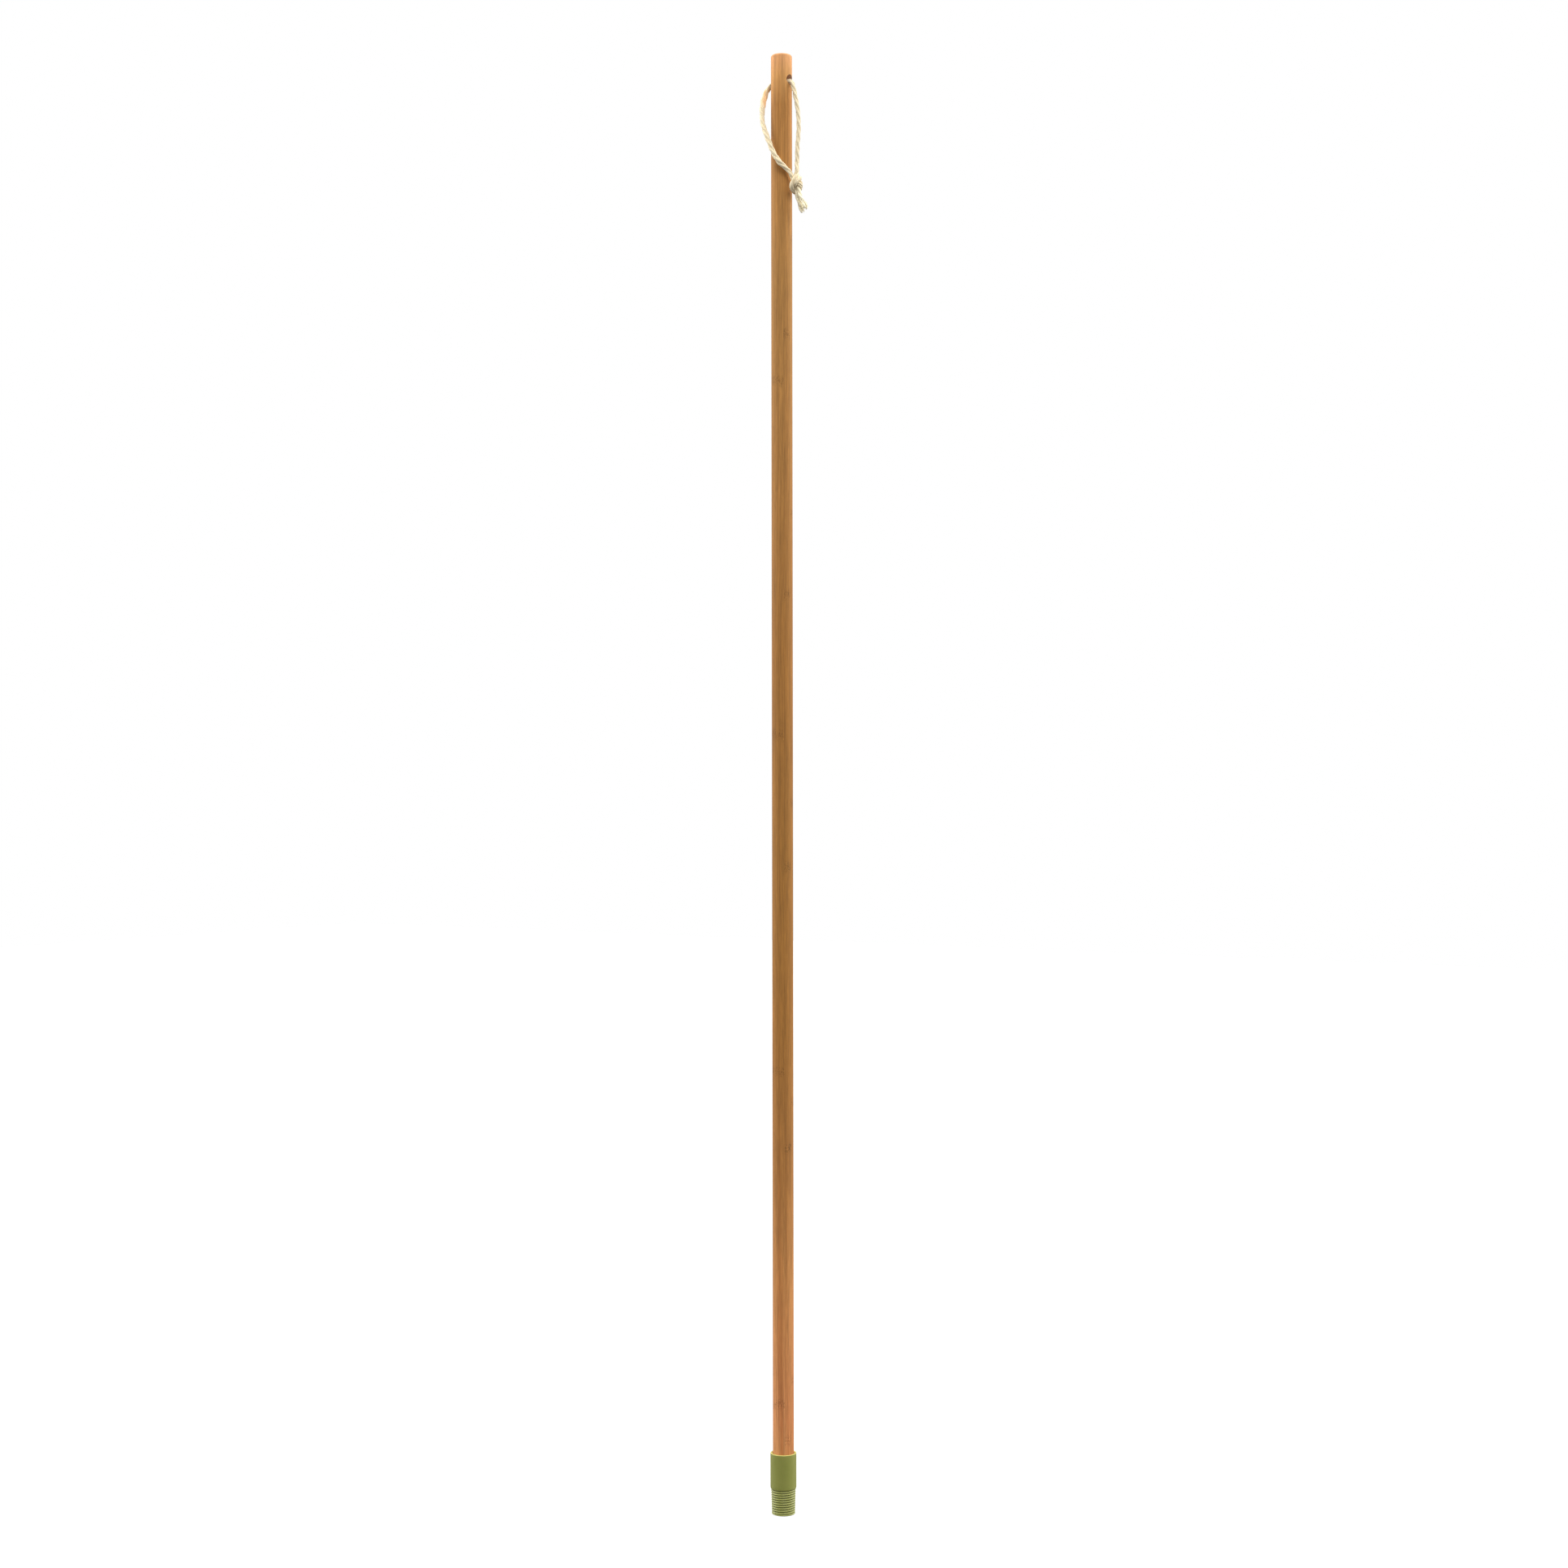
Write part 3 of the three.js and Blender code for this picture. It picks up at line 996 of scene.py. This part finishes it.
# Painted shade: a dark ring on the flared mouth of the cross hole, and the radii it spans
HOLE_MOUTH_PAINTED_SHADE = (0.10, 0.052, 0.030, 1)
# The inside of the hole: a brown grain, lightened far past the bamboo's own colour as painted
# light for the light that reaches into the hole
HOLE_BROWN_DARK = (0.26, 0.13, 0.08, 1)
HOLE_BROWN_LIGHT = (0.85, 0.53, 0.36, 1)
HOLE_MOUTH_SHADE_RING = (HOLE_RADIUS + 0.0003, HOLE_RADIUS + 0.0008)
HOLE_INSIDE = (HOLE_RADIUS + 0.00002, HOLE_RADIUS + 0.00012)

# Layers of grain: scale along X, Y and Z, detail, roughness
BANDS = ((260, 260, 2.5), 2, 0.5)
STREAKS = ((640, 640, 13), 3, 0.6)
LINES = ((1250, 1250, 34), 2, 0.6)
FIBRES = ((3200, 3200, 110), 2, 0.6)
BLOTCHES = ((60, 60, 9), 2, 0.5)
FLECKS = ((1000, 1000, 600), 3, 0.7)


class Bamboo(Nodes):
    """The material of one lamella."""

    def __init__(self, index):
        super().__init__("bamboo_" + LAMELLAE[index])
        self.index = index
        self.object_place = self.place()
        parts = self.add("ShaderNodeSeparateXYZ", {0: self.object_place})
        self.depth = parts.outputs[1]
        self.height = parts.outputs[2]
        self.streaks = self.grain(STREAKS)
        self.lines = self.grain(LINES)
        self.fibres = self.grain(FIBRES)

    def grain(self, layer):
        scale, detail, roughness = layer
        shift = tuple(self.index * step for step in LAMELLA_SHIFT)
        place = self.stretched(self.object_place, scale, shift)
        return self.noise(place, 1.0, detail, roughness)

    def tone(self):
        """How light the grain is: four layers multiplied, less the flecks of the node marks."""
        tone = LAMELLA_TONES[self.index]
        layers = [
            (self.streaks, 0.81, 1.16),
            (self.lines, 0.83, 1.15),
            (self.fibres, 0.87, 1.10),
            (self.grain(BLOTCHES), 0.96, 1.04),
        ]
        for layer, dark, light in layers:
            tone = self.math("MULTIPLY", self.remap(layer, *NOISE_SPREAD, dark, light), tone)
        flecks = self.remap(self.grain(FLECKS), 0.38, 0.62, 0.42, -0.16)
        return self.math("SUBTRACT", tone, self.math("MULTIPLY", self.node_marks(), flecks))

    def node_marks(self):
        """1 at the nodes of the lamella's cane and 0 between them."""
        wave = self.math("MULTIPLY", self.math("SUBTRACT", self.streaks, 0.5), NODE_WAVE)
        marks = 0
        for z in NODE_HEIGHTS[self.index]:
            above = self.math("ADD", self.math("SUBTRACT", self.height, z), wave)
            mark = self.remap(self.math("ABSOLUTE", above), *NODE_MARK, 1, 0)
            marks = self.math("MAXIMUM", marks, mark)
        return marks

    def red_share(self):
        """How much of the red streaks shows: most of it near the foot."""
        near_foot = self.remap(self.height, 0.05, 0.45, 1.0, 0.25)
        return self.math("MULTIPLY", self.remap(self.grain(BANDS), 0.48, 0.66, 0, 1), near_foot)

    def from_hole(self):
        """The distance from the cross hole's axis."""
        aside = self.math("POWER", self.depth, 2)
        above = self.math("POWER", self.math("SUBTRACT", self.height, HOLE_Z), 2)
        return self.math("SQRT", self.math("ADD", aside, above))

    def colour(self):
        # The colour up the pole carries painted light: its lighter top and foot stand partly for
        # light from above and below
        stops = [(z / HANDLE_LENGTH, linear(*colour)) for z, colour in BAMBOO_ALONG]
        colour = self.ramp(self.math("DIVIDE", self.height, HANDLE_LENGTH), stops)
        tone = self.tone()
        grey = self.add("ShaderNodeCombineXYZ", {0: tone, 1: tone, 2: tone}).outputs[0]
        colour = self.mix(1.0, colour, grey, "MULTIPLY")
        colour = self.mix(self.red_share(), colour, RED_STREAK, "MULTIPLY")
        from_hole = self.from_hole()
        # Painted shade darkens the ring round the hole's mouth
        colour = self.mix(self.remap(from_hole, *HOLE_MOUTH_SHADE_RING, 1, 0), colour, HOLE_MOUTH_PAINTED_SHADE)
        # Painted light: the inside of the hole is lightened to stand for light reaching into it,
        # over a brown grain
        brown = self.mix(self.lines, HOLE_BROWN_DARK, HOLE_BROWN_LIGHT)
        return self.mix(self.remap(from_hole, *HOLE_INSIDE, 1, 0), colour, brown)


def bamboo_material(index):
    bamboo = Bamboo(index)
    bamboo.put(bamboo.shader.inputs["Base Color"], bamboo.colour())
    roughness = bamboo.remap(bamboo.lines, *NOISE_SPREAD, 0.72, 0.84)
    bamboo.put(bamboo.shader.inputs["Roughness"], roughness)
    bamboo.shader.inputs["Specular IOR Level"].default_value = 0.22
    coarse = bamboo.math("MULTIPLY", bamboo.lines, 0.6)
    fine = bamboo.math("MULTIPLY", bamboo.fibres, 0.4)
    bamboo.bump(bamboo.math("ADD", coarse, fine), 0.00010, 0.6)
    return bamboo.material


OLIVE_DARK = (117, 120, 52)
OLIVE_LIGHT = (122, 124, 57)
# Painted shade in the thread's grooves
OLIVE_GROOVE_SHADE = (66, 67, 22)
# Painted highlight on the thread's crests
OLIVE_CREST_HIGHLIGHT = (150, 152, 84)
# Painted highlight on the sleeve's lip
OLIVE_RIM_HIGHLIGHT = (186, 176, 96)


def plastic_material():
    nodes = Nodes("ferrule_olive_plastic")
    mottle = nodes.remap(nodes.noise(nodes.place(), 90, 2), *NOISE_SPREAD, 0, 1)
    grain = nodes.noise(nodes.place(), 2600, 2)
    colour = nodes.mix(mottle, linear(*OLIVE_DARK), linear(*OLIVE_LIGHT))
    # Painted shade darkens the thread's grooves
    dark = nodes.remap(nodes.attribute("groove"), 0.4, 1, 0, 0.55)
    colour = nodes.mix(dark, colour, linear(*OLIVE_GROOVE_SHADE))
    # A painted highlight lightens the thread's crests
    light = nodes.remap(nodes.attribute("crest"), 0.4, 1, 0, 0.8)
    colour = nodes.mix(light, colour, linear(*OLIVE_CREST_HIGHLIGHT))
    # A painted highlight lightens the sleeve's lip
    colour = nodes.mix(nodes.attribute("rim"), colour, linear(*OLIVE_RIM_HIGHLIGHT))
    nodes.put(nodes.shader.inputs["Base Color"], colour)
    roughness = nodes.remap(grain, *NOISE_SPREAD, 0.46, 0.58)
    nodes.put(nodes.shader.inputs["Roughness"], roughness)
    nodes.shader.inputs["Specular IOR Level"].default_value = 0.4
    nodes.bump(grain, 0.00003, 0.5)
    return nodes.material


COTTON_DARK = (216, 197, 156)
COTTON_LIGHT = (241, 229, 200)
COTTON_CLOUD = (228, 208, 168)
# Painted shade in the crevices between yarns and strands
COTTON_CREVICE_SHADE = (188, 162, 116)
COTTON_TAN = (240, 200, 150)
# Painted light on the free ends
COTTON_PAINTED_LIGHT = (255, 246, 215)
FIBRES_ALONG = 260
FIBRES_ACROSS = 60


def cotton_material():
    nodes = Nodes("cord_cream_cotton")
    across = nodes.math("MULTIPLY", nodes.attribute("rope_yarn"), FIBRES_ACROSS)
    along = nodes.math("MULTIPLY", nodes.attribute("rope_along"), FIBRES_ALONG)
    lay = nodes.add("ShaderNodeCombineXYZ", {0: along, 1: across}).outputs[0]
    fibres = nodes.noise(lay, 1, 4, 0.65)
    light = nodes.remap(fibres, *NOISE_SPREAD, 0, 1)
    colour = nodes.mix(light, linear(*COTTON_DARK), linear(*COTTON_LIGHT))
    cloudy = nodes.remap(nodes.noise(nodes.place(), 420, 2), 0.35, 0.7, 0, 0.35)
    colour = nodes.mix(cloudy, colour, linear(*COTTON_CLOUD))
    # Painted shade darkens the crevices between yarns and strands
    crevice_shade = nodes.remap(nodes.attribute("rope_crevice_shade"), 0.3, 1, 0, 0.6)
    colour = nodes.mix(crevice_shade, colour, linear(*COTTON_CREVICE_SHADE))
    colour = nodes.mix(nodes.attribute("rope_tan"), colour, linear(*COTTON_TAN))
    # Painted light makes the free ends paler
    painted_light = nodes.remap(nodes.attribute("rope_painted_light"), 0, 0.4, 0, 1)
    colour = nodes.mix(painted_light, colour, linear(*COTTON_PAINTED_LIGHT))
    nodes.put(nodes.shader.inputs["Base Color"], colour)
    nodes.shader.inputs["Roughness"].default_value = 0.95
    nodes.shader.inputs["Specular IOR Level"].default_value = 0.2
    nodes.shader.inputs["Sheen Weight"].default_value = 0.25
    nodes.shader.inputs["Sheen Roughness"].default_value = 0.6
    nodes.bump(fibres, 0.00020, 0.6)
    return nodes.material


# Cord pieces on their body


def make_cord():
    rope = Rope(tight_knot())
    last = len(rope.points) - 1
    tail = round(TAIL_LENGTH / ROPE_STEP)
    left = rope.piece("cord_left", [(rope.left_leg, rope.middle)], 1)
    right = rope.piece("cord_right", [(rope.middle, rope.right_leg)], 2)
    knot = rope.piece("knot_wraps", [(tail, rope.left_leg), (rope.right_leg, last - tail)], 3)
    tail_front = rope.piece("tail_front", [(0, tail)], 4)
    tail_rear = rope.piece("tail_rear", [(last - tail, last)], 5)
    cotton = cotton_material()
    for piece in (left, right, knot, tail_front, tail_rear):
        sharpen(piece, CORD_CREASE)
        piece.data.materials.append(cotton)
        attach(piece, "cord")
    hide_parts("cord_loop")
    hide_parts("cord_loop")
    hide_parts("cord_knot")
    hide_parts("cord_tail_front")
    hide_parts("cord_tail_rear")


# Studio


def add_sun(name, azimuth, elevation, level, spread):
    """A wide soft light from far away.

    The azimuth is measured from the camera towards the camera's right. The level is the light on
    an upright white surface that faces it, as a share of full white.
    """
    azimuth = math.radians(azimuth)
    elevation = math.radians(elevation)
    across = camera_direction() * math.cos(azimuth) + camera_side() * math.sin(azimuth)
    towards = across * math.cos(elevation) + Vector((0, 0, math.sin(elevation)))
    data = bpy.data.lights.new(name, "SUN")
    data.energy = level * math.pi / math.cos(elevation)
    data.angle = math.radians(spread)
    light = bpy.data.objects.new(name, data)
    light.rotation_euler = towards.to_track_quat("Z", "Y").to_euler()
    bpy.context.scene.collection.objects.link(light)


def add_world():
    """Plain white behind everything, and a soft light that is brighter from above."""
    world = bpy.data.worlds.new("studio")
    world.use_nodes = True
    tree = world.node_tree
    direction = tree.nodes.new("ShaderNodeTexCoord").outputs["Generated"]
    parts = tree.nodes.new("ShaderNodeSeparateXYZ")
    tree.links.new(direction, parts.inputs[0])
    level = tree.nodes.new("ShaderNodeMapRange")
    for socket, value in zip(list(level.inputs)[1:5], (-1, 1, *WORLD_LEVELS)):
        socket.default_value = value
    tree.links.new(parts.outputs[2], level.inputs[0])
    seen = tree.nodes.new("ShaderNodeMath")
    seen.operation = "MAXIMUM"
    path = tree.nodes.new("ShaderNodeLightPath")
    tree.links.new(path.outputs["Is Camera Ray"], seen.inputs[0])
    tree.links.new(level.outputs[0], seen.inputs[1])
    background = tree.nodes["Background"]
    background.inputs["Color"].default_value = (1, 1, 1, 1)
    tree.links.new(seen.outputs[0], background.inputs["Strength"])
    bpy.context.scene.world = world


def add_floor():
    """A white floor that the camera sees and that doesn't light the object from below."""
    corners = [(-FLOOR_HALF, -FLOOR_HALF), (FLOOR_HALF, -FLOOR_HALF)]
    corners += [(FLOOR_HALF, FLOOR_HALF), (-FLOOR_HALF, FLOOR_HALF)]
    floor = new_piece("floor", [(x, y, FLOOR_Z) for x, y in corners], [(0, 1, 2, 3)], smooth=False)
    nodes = Nodes("floor_white")
    nodes.shader.inputs["Base Color"].default_value = (0.05, 0.05, 0.05, 1)
    nodes.shader.inputs["Roughness"].default_value = 1
    nodes.shader.inputs["Emission Color"].default_value = (1, 1, 1, 1)
    nodes.shader.inputs["Emission Strength"].default_value = 1
    floor.data.materials.append(nodes.material)
    floor.visible_diffuse = False
    floor.visible_glossy = False
    floor.visible_shadow = False


def add_studio():
    bpy.context.scene.view_settings.view_transform = "Standard"
    for sun in SUNS:
        add_sun(*sun)
    add_world()
    add_floor()


add_camera()
make_cord()
make_lamellae()
make_ferrule()
add_studio()

bpy.context.view_layer.update()
